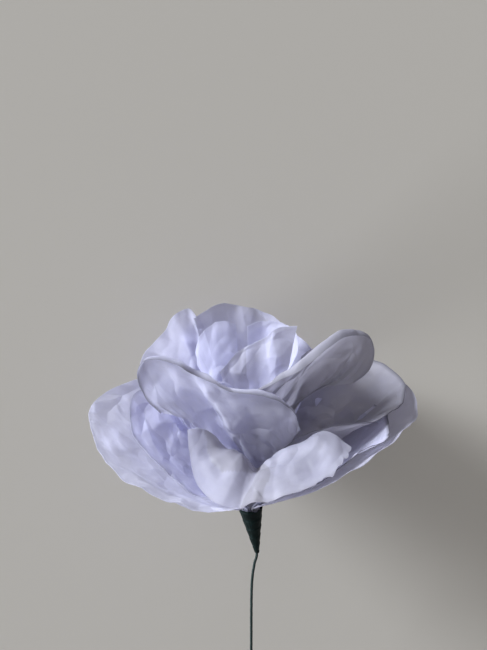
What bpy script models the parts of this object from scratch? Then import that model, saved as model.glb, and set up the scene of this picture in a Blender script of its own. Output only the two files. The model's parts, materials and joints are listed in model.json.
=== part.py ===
"""Crepe paper rose on a florist's wire, lying on its back petals and the end of its stem.

The flower is worked out in its own frame, in millimetres: the origin is the middle of the calyx
mouth, +Z runs up through the bloom, +X is the photograph's right and -Y faces its camera. A point on
a petal is given by its bearing round the axis (0 right, 90 back, 180 left, 270 front), its reach from
the axis and its height. An empty then lays the whole flower down, and there the unit is the metre.
"""
from math import atan2, cos, pi, radians, sin, tau

import bpy
from mathutils import Matrix, Vector
from mathutils.bvhtree import BVHTree

MM = 0.001

# Paper, wire and tape
PAPER = 0.14              # petal thickness
PETAL_CLEARANCE = 0.75    # least distance between the middles of two petals, above the calyx
FOOT_GAP = 0.12           # air between one gathered foot and the next, inside the calyx
WIRE_RADIUS = 0.42
WIRE_TOP = 14.0           # how far the wire runs up inside the rolled centre
WIRE_SIDES = 8
STEM_LENGTH = 120.0       # from the calyx mouth down to the cut end of the wire
TAPE = 0.25               # wall of the wound calyx
CALYX_LENGTH = 16.0
CALYX_LEAN = 0.135        # how far the calyx leans to the right, for each millimetre down
CALYX_SIDES = 20
MOUTH_DROP = 0.3          # the tape stops this far under the first bend of the petals
FOOT_DEPTH = 2.5          # how deep the outermost feet sit in the calyx

# Rolled centre
ROLL_TURNS = 2.0
ROLL_COLUMNS = 24
ROLL_ROWS = 5
ROLL_HEIGHT = 42.0
ROLL_OPENING = 2.2        # how much wider each turn stands at the rim
ROLL_LEAN = 1.6           # rim radius of the innermost turn

# Rings of petals, counted outwards from the rolled centre
RING_PITCH = PAPER + FOOT_GAP
ROLL_FOOT = WIRE_RADIUS + FOOT_GAP + PAPER / 2
FIRST_RING = ROLL_FOOT + (ROLL_TURNS + 1.0) * RING_PITCH
LAST_RING = 7
FOOT_SPREAD = 100.0       # degrees of the ring that one gathered foot takes up

# Resting line: the outer back petal is flattened where it meets the surface
REST_DEPTH = 40.0
REST_HEIGHT = 32.0
REST_HALF_ANGLE = 28.0

BEND = 0.7                # how far a rib follows its waist before it turns to the rim
RIM_TURNS = (70, 140)     # degrees by which a rolled rim has turned over at each of its points
ROLL_ENDS = 0.3           # radius of a rolled rim at its ends, as a share of the full radius
ROLL_GROWTH = 3.5         # how quickly it grows from there, per share of the petal's width
CURVE_STEPS = 12          # points read between two stations of a smooth line
EASING_PASSES = 12
SETTLING_PASSES = 4       # the last passes, which leave the moves as they are
EASING_SHARE = 0.7        # part of the way that one pass moves a point
SQUARE_ON = 0.97          # how squarely a point lies behind paper before it is brought through it
EASING_DEPTH = 4.0        # a point deeper than this behind paper is on another side of the flower
EASING_REACH = 10.0       # a petal is only eased over paper nearer than this
CLEARANCE_SLOPE = 0.06    # how quickly the clearance grows from the ring pitch, above the mouth


def rest_rim(bearing):
    """A rim station of the outer back petal on the straight line that it rests on."""
    return (bearing, REST_DEPTH / sin(radians(bearing)), REST_HEIGHT)


def arc(bearing, spread, reach, height):
    """Stations on a level arc, for a petal that bends alike all the way across."""
    return [(bearing + spread * share, reach, height) for share in (-0.5, 0.0, 0.5)]


# Petals from the innermost outwards. Each is laid over the ones before it.
# ring and foot: where its gathered foot is held, as the ring's number and a bearing.
# waist: stations of the line that its ribs bend towards, with bearings counted from the foot's.
# rim: stations (bearing, reach, height) from one side of the petal to the other.
# roll: radius of a rim that is turned over outwards.
# under: inner petals that lean out over this one, so that it isn't laid over them.
# free_edge: its first side stands free, so that a petal behind that edge isn't brought through it.
# creases: (across, along) of each end as shares of the petal, depth and half width.
# grid: columns across and rows from the mouth to the rim.
PETALS = {
    "petal_heart_front": dict(
        ring=1, foot=285, waist=arc(0, 96, 6.5, 20), grid=(8, 7),
        rim=[(228, 12.0, 45.5), (255, 12.0, 52.0), (281, 12.0, 55.8), (302, 13.5, 58.0), (318, 16.4, 58.6)],
        creases=[((0.55, 1.0), (0.45, 0.35), 1.1, 3.0)]),
    "petal_heart_left": dict(
        ring=1, foot=160, waist=arc(0, 96, 6.5, 20), grid=(8, 7),
        rim=[(112, 11.0, 53.5), (130, 12.5, 54.5), (150, 14.0, 53.5), (172, 15.0, 50.0), (196, 15.0, 45.5)]),
    "petal_heart_back": dict(
        ring=1, foot=45, waist=arc(0, 96, 6.5, 20), grid=(8, 7),
        rim=[(352, 13.0, 50.5), (15, 13.5, 53.0), (42, 13.5, 54.0), (70, 13.0, 54.0), (94, 12.0, 52.5)]),
    "petal_crown_back": dict(
        ring=2, foot=92, waist=arc(0, 90, 9.0, 20), grid=(9, 7),
        rim=[(46, 16.5, 49.5), (60, 18.0, 53.0), (79, 19.5, 55.2), (99, 20.0, 57.0), (118, 21.5, 57.3),
             (138, 22.5, 53.8)]),
    "petal_crown_right": dict(
        ring=2, foot=345, waist=arc(-3, 84, 9.0, 20), grid=(9, 7),
        rim=[(306, 15.5, 44.0), (325, 18.0, 47.5), (342, 20.5, 50.8), (358, 20.0, 50.5), (12, 18.0, 48.0),
             (25, 16.0, 45.0)]),
    "petal_crown_front": dict(
        ring=2, foot=228, waist=arc(0, 90, 9.0, 20), grid=(9, 7),
        rim=[(186, 18.0, 43.0), (208, 16.5, 44.5), (232, 14.5, 43.5), (255, 14.0, 42.0), (272, 13.5, 40.0)]),
    "petal_cup_left": dict(
        ring=3, foot=165, waist=arc(0, 76, 11.0, 20), grid=(11, 8),
        rim=[(123, 26.0, 50.0), (134, 26.5, 56.2), (147, 27.0, 54.9), (160, 26.8, 51.9), (174, 28.8, 48.5),
             (184, 31.0, 44.8), (196, 27.5, 40.0)],
        creases=[((0.28, 1.0), (0.40, 0.45), 1.0, 3.0)]),
    "petal_cup_right": dict(
        ring=3, foot=292, waist=[(-24, 11.0, 18.0), (1, 13.0, 28.0), (-6, 14.0, 42.0)],
        grid=(14, 8), roll=1.5,
        rim=[(276, 16.0, 42.4), (302, 18.6, 47.6), (318, 22.4, 53.4), (329, 25.0, 56.4), (337, 27.4, 57.0),
             (341, 29.9, 56.3), (343, 31.8, 54.0), (343, 32.3, 50.2), (341, 31.5, 46.2), (338, 29.4, 42.8)]),
    "petal_cup_back": dict(
        ring=4, foot=95, waist=arc(-3, 90, 12.0, 18), grid=(11, 8),
        rim=[(40, 25.0, 44.0), (60, 28.5, 46.5), (82, 28.0, 49.5), (104, 29.0, 51.0), (128, 29.5, 50.0),
             (146, 27.5, 49.0)]),
    "petal_cup_front": dict(
        ring=4, foot=275, waist=[(-26, 19.0, 34.0), (-14, 16.5, 27.0), (4, 14.0, 19.0), (18, 16.0, 20.0)],
        grid=(16, 9), roll=1.1, free_edge=True,
        rim=[(211, 27.6, 35.4), (207, 29.6, 38.5), (201, 30.6, 43.0), (198, 30.2, 47.0), (201, 28.2, 49.8),
             (209, 24.5, 50.0), (222, 21.4, 48.4), (234, 18.9, 46.0), (246, 18.4, 44.2), (262, 18.6, 42.6),
             (277, 19.4, 42.3), (291, 20.6, 41.0), (302, 20.6, 38.0), (310, 20.6, 31.6)],
        creases=[((0.42, 1.0), (0.60, 0.35), -1.3, 3.5)]),
    "petal_right": dict(
        ring=5, foot=3, waist=[(-45, 14.0, 20.0), (-8, 12.0, 14.0), (37, 12.0, 14.0)], grid=(12, 9),
        rim=[(303, 16.5, 26.0), (311, 24.0, 31.8), (320, 30.6, 34.4), (336, 38.4, 35.6), (349, 42.3, 36.4),
             (4, 45.2, 36.7), (20, 46.3, 37.7), (36, 44.5, 38.8), (50, 38.0, 40.0)]),
    "petal_back_left": dict(
        ring=5, foot=125, waist=arc(0, 100, 12.0, 14.0), grid=(12, 9),
        rim=[(72, 30.0, 42.5), (90, 34.0, 41.5), (108, 36.0, 41.0), (126, 35.5, 41.0), (142, 32.5, 41.0),
             (156, 29.5, 39.5), (169, 27.0, 37.0)]),
    "petal_front": dict(
        ring=5, foot=258, waist=[(-4, 22.5, 37.0), (33, 15.3, 31.5), (42, 16.5, 38.0), (50, 18.5, 42.0)],
        grid=(13, 9),
        rim=[(222, 22.5, 31.0), (225, 23.0, 26.5), (233, 24.8, 20.4), (246, 29.0, 17.8), (258, 33.5, 18.2),
             (270, 35.5, 19.8), (284, 37.2, 23.0), (297, 38.0, 25.4), (306, 38.6, 27.7), (316, 35.6, 30.4)],
        creases=[((0.52, 1.0), (0.48, 0.45), 1.1, 4.0)]),
    "petal_lower_left": dict(
        ring=6, foot=212, waist=arc(-8, 104, 11.0, 10.0), grid=(12, 9), under=["petal_cup_front"],
        rim=[(158, 32.0, 34.0), (168, 33.4, 33.8), (178, 34.3, 33.3), (194, 34.4, 29.6), (210, 33.0, 25.6),
             (226, 32.0, 21.8), (240, 31.0, 18.8), (251, 29.0, 17.0)],
        creases=[((0.78, 1.0), (0.66, 0.40), -1.2, 4.0)]),
    "petal_lower_right": dict(
        ring=6, foot=328, waist=arc(2, 90, 11.0, 10.0), grid=(12, 9),
        rim=[(288, 33.0, 20.5), (301, 37.2, 25.1), (313, 38.9, 29.7), (320, 41.0, 31.4), (327, 42.2, 32.7),
             (341, 39.2, 33.3), (354, 36.0, 34.5), (8, 33.0, 36.0)]),
    "petal_lower_back": dict(
        ring=6, foot=92, waist=arc(6, 106, 10.5, 9.5), grid=(12, 9),
        rim=[(35, 34.0, 37.5), (55, 37.5, 37.0), (78, 37.5, 38.0), (103, 38.0, 37.5), (128, 37.5, 36.5),
             (150, 35.0, 35.0), (166, 30.0, 32.0)]),
    "petal_outer_left": dict(
        ring=7, foot=206, waist=arc(0, 100, 9.5, 5.5), grid=(12, 9), under=["petal_cup_front"],
        rim=[(146, 40.5, 32.2), (154, 43.6, 31.6), (166, 46.6, 31.0), (181, 46.5, 30.0), (200, 44.6, 27.2),
             (220, 43.2, 23.4), (238, 40.0, 20.9), (254, 37.0, 18.4), (266, 36.0, 18.8)],
        creases=[((0.30, 1.0), (0.40, 0.35), -1.0, 5.0)]),
    "petal_outer_right": dict(
        ring=7, foot=326, waist=arc(0, 100, 9.5, 5.5), grid=(12, 9),
        rim=[(276, 33.0, 18.4), (289, 37.0, 22.3), (306, 39.6, 26.4), (322, 43.0, 31.0), (341, 45.2, 32.5),
             (356, 47.3, 34.1), (10, 47.2, 35.8), (22, 44.0, 36.0)]),
    "petal_outer_back": dict(
        ring=7, foot=88, waist=arc(0, 100, 9.5, 5.5), grid=(12, 9),
        rim=[(30, 44.0, 34.0), (46, 48.0, 32.5), rest_rim(90 - REST_HALF_ANGLE), rest_rim(90),
             rest_rim(90 + REST_HALF_ANGLE), (134, 48.0, 31.5), (146, 43.0, 31.0)]),
}


def flower_point(bearing, reach, height):
    """A point from its bearing in degrees, its reach from the axis and its height."""
    turn = radians(bearing)
    return Vector((reach * cos(turn), reach * sin(turn), height))


def unwound(stations):
    """The stations with bearings that never jump by more than half a turn."""
    result = [stations[0]]
    for bearing, reach, height in stations[1:]:
        last = result[-1][0]
        result.append((last + (bearing - last + 180) % 360 - 180, reach, height))
    return result


def smooth_curve(points, steps):
    """Points of a Catmull-Rom curve through the given ones, with steps to each span."""
    ends = [points[0] * 2 - points[1]] + list(points) + [points[-1] * 2 - points[-2]]
    curve = []
    for a, b, c, d in zip(ends, ends[1:], ends[2:], ends[3:]):
        for step in range(steps):
            t = step / steps
            curve.append(0.5 * (2 * b + (c - a) * t + (2 * a - 5 * b + 4 * c - d) * t * t
                                + (3 * b - a - 3 * c + d) * t * t * t))
    return curve + [points[-1].copy()]


def evenly_spaced(curve, count):
    """The curve's points read again at equal distances along it."""
    travelled = [0.0]
    for start, end in zip(curve, curve[1:]):
        travelled.append(travelled[-1] + (end - start).length)
    spaced = []
    span = 0
    for index in range(count):
        target = travelled[-1] * index / (count - 1)
        while span < len(curve) - 2 and travelled[span + 1] < target:
            span += 1
        share = (target - travelled[span]) / (travelled[span + 1] - travelled[span])
        spaced.append(curve[span].lerp(curve[span + 1], share))
    return spaced


def centre_line(height):
    """The axis of the calyx and the feet: upright above the mouth, leaning below it."""
    return Vector((CALYX_LEAN * max(0.0, -height), 0.0, height))


def ring_radius(ring):
    """Radius at which the feet of one ring are gathered."""
    return FIRST_RING + (ring - 1) * RING_PITCH


def calyx_bore():
    """Inner radii of the calyx at its mouth and at its tip."""
    tip = WIRE_RADIUS + FOOT_GAP
    seat = ring_radius(LAST_RING) + PAPER / 2 + FOOT_GAP
    depth_share = FOOT_DEPTH / CALYX_LENGTH
    return (seat - depth_share * tip) / (1 - depth_share), tip


def foot_height(radius):
    """How deep a foot of this radius goes before it meets the taper of the calyx."""
    mouth, tip = calyx_bore()
    return -CALYX_LENGTH * (mouth - radius - PAPER / 2 - FOOT_GAP) / (mouth - tip)


def bezier(a, b, c, d, t):
    """Point t of a cubic curve from a to d."""
    s = 1 - t
    return a * s ** 3 + b * (3 * s * s * t) + c * (3 * s * t * t) + d * t ** 3


def rolled_over(rib, radius, outward):
    """The rib with its rim turned over outwards, as more points on an arc."""
    top = rib[-1]
    along = (top - rib[-2]).normalized()
    over = (outward - along * outward.dot(along)).normalized()
    return rib + [top + along * (radius * sin(radians(angle))) + over * (radius * (1 - cos(radians(angle))))
                  for angle in RIM_TURNS]


def station_line(stations, count):
    """Evenly spaced points on a smooth line through stations round the flower."""
    points = [flower_point(*station) for station in unwound(stations)]
    return evenly_spaced(smooth_curve(points, CURVE_STEPS), count)


def petal_ribs(spec):
    """A petal's middle surface as ribs, each a list of points from the foot to the rim."""
    columns, rows = spec["grid"]
    radius = ring_radius(spec["ring"])
    waists = station_line([(spec["foot"] + turn, reach, height) for turn, reach, height in spec["waist"]],
                          columns + 1)
    tops = station_line(spec["rim"], columns + 1)
    ribs = []
    for column, (waist, top) in enumerate(zip(waists, tops)):
        bearing = spec["foot"] + (column / columns - 0.5) * FOOT_SPREAD
        foot = flower_point(bearing, radius, 0.0)
        rib = [foot + centre_line(foot_height(radius))]
        rib += [bezier(foot, foot.lerp(waist, BEND), top.lerp(waist, BEND), top, step / (rows - 1))
                for step in range(rows)]
        if "roll" in spec:
            end_share = min(column, columns - column) / columns
            radius_here = spec["roll"] * min(1.0, ROLL_ENDS + ROLL_GROWTH * end_share)
            rib = rolled_over(rib, radius_here, Vector((top.x, top.y, 0.0)).normalized())
        ribs.append(rib)
    return ribs


def surface_normals(ribs):
    """Outward normal at each point of a sheet of ribs."""
    normals = []
    for i, rib in enumerate(ribs):
        before, after = ribs[max(i - 1, 0)], ribs[min(i + 1, len(ribs) - 1)]
        row = []
        for j in range(len(rib)):
            across = after[j] - before[j]
            along = rib[min(j + 1, len(rib) - 1)] - rib[max(j - 1, 0)]
            row.append(across.cross(along).normalized())
        normals.append(row)
    return normals


def crease(ribs, start, end, depth, half_width):
    """Folds the sheet to a ridge along a line between two places on it."""
    columns, rows = len(ribs) - 1, len(ribs[0]) - 1

    def place(across, along):
        i, j = across * columns, along * rows
        low_i, low_j = min(int(i), columns - 1), min(int(j), rows - 1)
        first = ribs[low_i][low_j].lerp(ribs[low_i + 1][low_j], i - low_i)
        second = ribs[low_i][low_j + 1].lerp(ribs[low_i + 1][low_j + 1], i - low_i)
        return first.lerp(second, j - low_j)

    head, tail = place(*start), place(*end)
    line = tail - head
    normals = surface_normals(ribs)
    for i, rib in enumerate(ribs):
        for j in range(2, len(rib)):
            share = min(1.0, max(0.0, (rib[j] - head).dot(line) / line.length_squared))
            away = (rib[j] - head - line * share).length
            rib[j] = rib[j] + normals[i][j] * depth * max(0.0, 1 - away / half_width)


def sheet_faces(ribs):
    """Corner numbers of the quads between the ribs, facing outwards."""
    rows = len(ribs[0])
    return [(i * rows + j, (i + 1) * rows + j, (i + 1) * rows + j + 1, i * rows + j + 1)
            for i in range(len(ribs) - 1) for j in range(rows - 1)]


def placed_sheet(ribs, free_edge=False):
    """A sheet in its place: a search tree, and how many of its first faces are along a free edge."""
    tree = BVHTree.FromPolygons([p for rib in ribs for p in rib], sheet_faces(ribs))
    return tree, len(ribs[0]) - 1 if free_edge else 0


def push_outwards(point, sheet, clearance):
    """The move that brings a point this far outside a placed sheet, if it is on the same side."""
    tree, edge_faces = sheet
    near, normal, face, away = tree.find_nearest(point, EASING_REACH)
    if near is None or near.xy.dot(point.xy) < 0.5 * near.xy.length * point.xy.length:
        return Vector()
    side = (point - near).dot(normal)
    beside = away >= clearance and (side > -SQUARE_ON * away or face < edge_faces)
    if side >= clearance or beside or side < -EASING_DEPTH:
        return Vector()
    return normal * ((clearance - side) * EASING_SHARE)


def ease_outwards(ribs, placed):
    """Lays a petal over the ones inside it: its points move outwards until they clear them all."""
    columns, rows = len(ribs), len(ribs[0])
    shift = [[Vector() for _ in rib] for rib in ribs]
    for turn in range(EASING_PASSES):
        for i, rib in enumerate(ribs):
            for j in range(2, rows):
                rise = (rib[j] - rib[1]).length
                clearance = min(PETAL_CLEARANCE, RING_PITCH + rise * CLEARANCE_SLOPE)
                for sheet in placed:
                    shift[i][j] += push_outwards(rib[j] + shift[i][j], sheet, clearance)
        if turn < EASING_PASSES - SETTLING_PASSES:
            shift = [[mean_shift(shift, i, j) if j > 1 else Vector() for j in range(rows)]
                     for i in range(columns)]
    for rib, moves in zip(ribs, shift):
        for j, move in enumerate(moves):
            rib[j] = rib[j] + move


def mean_shift(shift, i, j):
    """A point's shift, evened out with its neighbours'."""
    around = [shift[a][b] for a, b in ((i - 1, j), (i + 1, j), (i, j - 1), (i, j + 1))
              if 0 <= a < len(shift) and 0 <= b < len(shift[0])]
    return shift[i][j] * 0.6 + sum(around, Vector()) * (0.4 / len(around))


def roll_ribs():
    """The rolled centre: one strip wound round the wire and opening towards its rim."""
    ribs = []
    for column in range(ROLL_COLUMNS + 1):
        turns = ROLL_TURNS * column / ROLL_COLUMNS
        foot_radius = ROLL_FOOT + turns * RING_PITCH
        rim_radius = ROLL_LEAN + turns * ROLL_OPENING
        height = ROLL_HEIGHT + 3.0 * sin(tau * turns + 1.0) - 1.5 * turns
        foot = flower_point(360 * turns, foot_radius, 0.0)
        rim = flower_point(360 * turns, rim_radius, height)
        waist = flower_point(360 * turns, foot_radius + (rim_radius - foot_radius) * 0.8, height * 0.5)
        rib = [foot + centre_line(foot_height(foot_radius))]
        rib += [bezier(foot, foot.lerp(waist, BEND), rim.lerp(waist, BEND), rim, step / (ROLL_ROWS - 1))
                for step in range(ROLL_ROWS)]
        ribs.append(rib)
    return ribs


def painted(name, colour, roughness):
    """A plain material in the part's colour."""
    material = bpy.data.materials.new(name)
    material.use_nodes = True
    shader = material.node_tree.nodes["Principled BSDF"]
    shader.inputs["Base Color"].default_value = (*colour, 1.0)
    shader.inputs["Roughness"].default_value = roughness
    shader.inputs["Metallic"].default_value = 0.0
    return material


def add_piece(name, points, faces, material, flower):
    """One piece of the flower, from points in millimetres, carried by the flower's empty."""
    mesh = bpy.data.meshes.new(name)
    mesh.from_pydata([p * MM for p in points], [], faces)
    mesh.shade_smooth()
    mesh.set_sharp_from_angle(angle=radians(35))
    mesh.materials.append(material)
    piece = bpy.data.objects.new(name, mesh)
    bpy.context.collection.objects.link(piece)
    piece.parent = flower
    return piece


def add_sheet(name, ribs, flower):
    """A sheet of crepe paper of even thickness."""
    paper = painted(name + "_paper", (0.62, 0.60, 0.78), 0.75)
    piece = add_piece(name, [p for rib in ribs for p in rib], sheet_faces(ribs), paper, flower)
    thickness = piece.modifiers.new("Paper", "SOLIDIFY")
    thickness.thickness = PAPER * MM
    thickness.offset = 0.0


def add_rings(name, rings, closed, colour, roughness, flower):
    """A skin over rings of points. Closed skins join the last ring to the first, others are capped."""
    sides = len(rings[0])
    points = [p for ring in rings for p in ring]
    pairs = list(zip(range(len(rings)), range(1, len(rings))))
    if closed:
        pairs.append((len(rings) - 1, 0))
    faces = [(a * sides + k, a * sides + (k + 1) % sides, b * sides + (k + 1) % sides, b * sides + k)
             for a, b in pairs for k in range(sides)]
    if not closed:
        faces.append(tuple(reversed(range(sides))))
        faces.append(tuple(range(len(points) - sides, len(points))))
    return add_piece(name, points, faces, painted(name + "_finish", colour, roughness), flower)


def circle(centre, radius, sides):
    """A level ring of points, anticlockwise seen from above."""
    return [centre + Vector((radius * cos(tau * k / sides), radius * sin(tau * k / sides), 0.0))
            for k in range(sides)]


def add_stem_wire(flower):
    """Covered florist's wire: straight through the calyx, bent back under it, then straight down."""
    tip = centre_line(-CALYX_LENGTH)
    bend = [(0.62, 4.5), (0.33, 10.0), (0.24, 18.0), (0.24, 40.0)]
    path = [Vector((0.0, 0.0, WIRE_TOP)), Vector((0.0, 0.0, WIRE_TOP / 2)), Vector(), tip / 2, tip]
    path += [Vector((tip.x * share, 0.0, tip.z - drop)) for share, drop in bend]
    path.append(Vector((path[-1].x, 0.0, -STEM_LENGTH)))
    rings = [circle(point, WIRE_RADIUS, WIRE_SIDES) for point in reversed(smooth_curve(path, 4))]
    add_rings("stem_wire", rings, False, (0.02, 0.06, 0.045), 0.6, flower)


def add_calyx(flower):
    """Green tape wound over the feet of the petals, as a leaning cone with its bore open."""
    mouth, tip = calyx_bore()
    steps = 6
    outer, inner = [], []
    for step in range(steps + 1):
        share = step / steps
        height = -CALYX_LENGTH + share * (CALYX_LENGTH - MOUTH_DROP)
        bore = tip + (mouth - tip) * (1 + height / CALYX_LENGTH)
        outer.append(circle(centre_line(height), bore + TAPE, CALYX_SIDES))
        inner.append(circle(centre_line(height), bore, CALYX_SIDES))
    add_rings("calyx_tape", outer + inner[::-1], True, (0.015, 0.05, 0.04), 0.7, flower)


def lay_down(flower):
    """Lays the flower on its back: it rests on the end of the stem and on the petals behind."""
    bpy.context.view_layer.update()
    shape = bpy.context.evaluated_depsgraph_get()
    solids = [piece.evaluated_get(shape) for piece in flower.children]
    corners = [solid.matrix_world @ vertex.co for solid in solids for vertex in solid.data.vertices]
    heel = Vector((0.0, WIRE_RADIUS, -STEM_LENGTH)) * MM
    tilt = max(atan2(c.y - heel.y, c.z - heel.z) for c in corners if c.z > 0)
    lying = Matrix.Rotation(tilt - pi / 2, 3, "X")
    corners = [lying @ c for c in corners]
    low = Vector([min(c[axis] for c in corners) for axis in range(3)])
    high = Vector([max(c[axis] for c in corners) for axis in range(3)])
    flower.rotation_euler = lying.to_euler()
    flower.location = Vector((-(low.x + high.x) / 2, -(low.y + high.y) / 2, -low.z))
    bpy.context.view_layer.update()


def build():
    """The whole rose."""
    for old in list(bpy.data.objects):
        bpy.data.objects.remove(old, do_unlink=True)
    flower = bpy.data.objects.new("flower", None)
    bpy.context.collection.objects.link(flower)

    centre = roll_ribs()
    add_sheet("rolled_centre", centre, flower)
    placed = {"rolled_centre": placed_sheet(centre)}
    for name, spec in PETALS.items():
        ribs = petal_ribs(spec)
        for fold in spec.get("creases", ()):
            crease(ribs, *fold)
        ease_outwards(ribs, [sheet for inner, sheet in placed.items() if inner not in spec.get("under", ())])
        placed[name] = placed_sheet(ribs, spec.get("free_edge", False))
        add_sheet(name, ribs, flower)
    add_calyx(flower)
    add_stem_wire(flower)
    lay_down(flower)


build()
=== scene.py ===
# Crepe paper rose: the looks of its petals, of the green tape round their feet and of the covered wire.
# The flower is shaped upright in millimetres, in its own frame: the origin is the middle of the calyx
# mouth, +Z runs up through the bloom, +X is the photograph's right and -Y faces its camera. A point is
# given by its bearing round the axis (0 right, 90 back, 180 left, 270 front), its reach and its height.
import json
from math import atan2, cos, radians, sin, tau

import bpy
from mathutils import Matrix, Vector, noise
from mathutils.bvhtree import BVHTree


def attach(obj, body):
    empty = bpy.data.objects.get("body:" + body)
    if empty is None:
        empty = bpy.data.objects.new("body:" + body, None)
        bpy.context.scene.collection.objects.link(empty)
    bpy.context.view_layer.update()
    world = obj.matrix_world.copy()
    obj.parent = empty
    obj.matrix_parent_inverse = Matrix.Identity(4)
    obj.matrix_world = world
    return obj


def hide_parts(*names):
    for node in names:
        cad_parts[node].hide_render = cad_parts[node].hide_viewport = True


print("Loading the packed rose")
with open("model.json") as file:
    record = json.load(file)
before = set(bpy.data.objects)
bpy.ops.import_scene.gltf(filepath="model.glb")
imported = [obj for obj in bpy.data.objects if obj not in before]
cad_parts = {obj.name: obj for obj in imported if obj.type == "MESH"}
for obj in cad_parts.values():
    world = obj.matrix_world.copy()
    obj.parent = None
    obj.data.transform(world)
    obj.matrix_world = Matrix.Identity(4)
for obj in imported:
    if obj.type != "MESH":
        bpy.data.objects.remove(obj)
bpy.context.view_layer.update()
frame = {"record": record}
mm = 0.001

# Shape of the flower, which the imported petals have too
paper = dict(
    thickness=0.14,  # petal thickness
    clearance=0.75,  # least distance between the middles of two petals, above the calyx
    footGap=0.12,  # air between one gathered foot and the next, inside the calyx
)
wire = dict(radius=0.42)
calyx = dict(
    wall=0.25,  # wall of the wound calyx
    length=16.0,
    lean=0.135,  # how far the calyx leans to the right, for each millimetre down
    mouthDrop=0.3,  # the tape stops this far under the first bend of the petals
    footDepth=2.5,  # how deep the outermost feet sit in the calyx
)
roll = dict(
    turns=2.0,
    columns=24,
    rows=5,
    height=42.0,
    opening=2.2,  # how much wider each turn stands at the rim
    lean=1.6,  # rim radius of the innermost turn
    drop=1.5,  # how much lower each turn's rim is
    unevenness=3.0,  # how far the rim rises and falls round each turn
    waist=(0.8, 0.5),  # where each rib bends, as shares of its reach and of its height
)
rings = dict(
    last=7,
    footSpread=100.0,  # degrees of the ring that one gathered foot takes up
)
rest = dict(
    depth=40.0,
    height=32.0,
    halfAngle=28.0,
)
ribbing = dict(
    bend=0.7,  # how far a rib follows its waist before it turns to the rim
    rimTurns=(70, 140),  # degrees by which a rolled rim has turned over at each of its points
    rollEnds=0.3,  # radius of a rolled rim at its ends, as a share of the full radius
    rollGrowth=3.5,  # how quickly it grows from there, per share of the petal's width
    curveSteps=12,  # points read between two stations of a smooth line
)
easing = dict(
    passes=12,
    settlingPasses=4,  # the last passes, which leave the moves as they are
    share=0.7,  # part of the way that one pass moves a point
    own=0.6,  # how much of its own move a point keeps when the moves are evened out
    sameSide=0.5,  # cosine of the widest angle between a point and the paper that may move it
    squareOn=0.97,  # how squarely a point lies behind paper before it is brought through it
    depth=4.0,  # a point deeper than this behind paper is on another side of the flower
    reach=10.0,  # a petal is only eased over paper nearer than this
    clearanceSlope=0.06,  # how quickly the clearance grows from the ring pitch, above the mouth
)
rings["pitch"] = paper["thickness"] + paper["footGap"]
rings["rollFoot"] = wire["radius"] + paper["footGap"] + paper["thickness"] / 2
rings["first"] = rings["rollFoot"] + (roll["turns"] + 1.0) * rings["pitch"]


# A rim station of the outer back petal on the straight line that it rests on
def restRim(bearing):
    return (bearing, rest["depth"] / sin(radians(bearing)), rest["height"])


# Stations on a level arc, for a petal that bends alike all the way across
def arc(bearing, spread, reach, height):
    return [(bearing + spread * share, reach, height) for share in (-0.5, 0.0, 0.5)]


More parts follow.
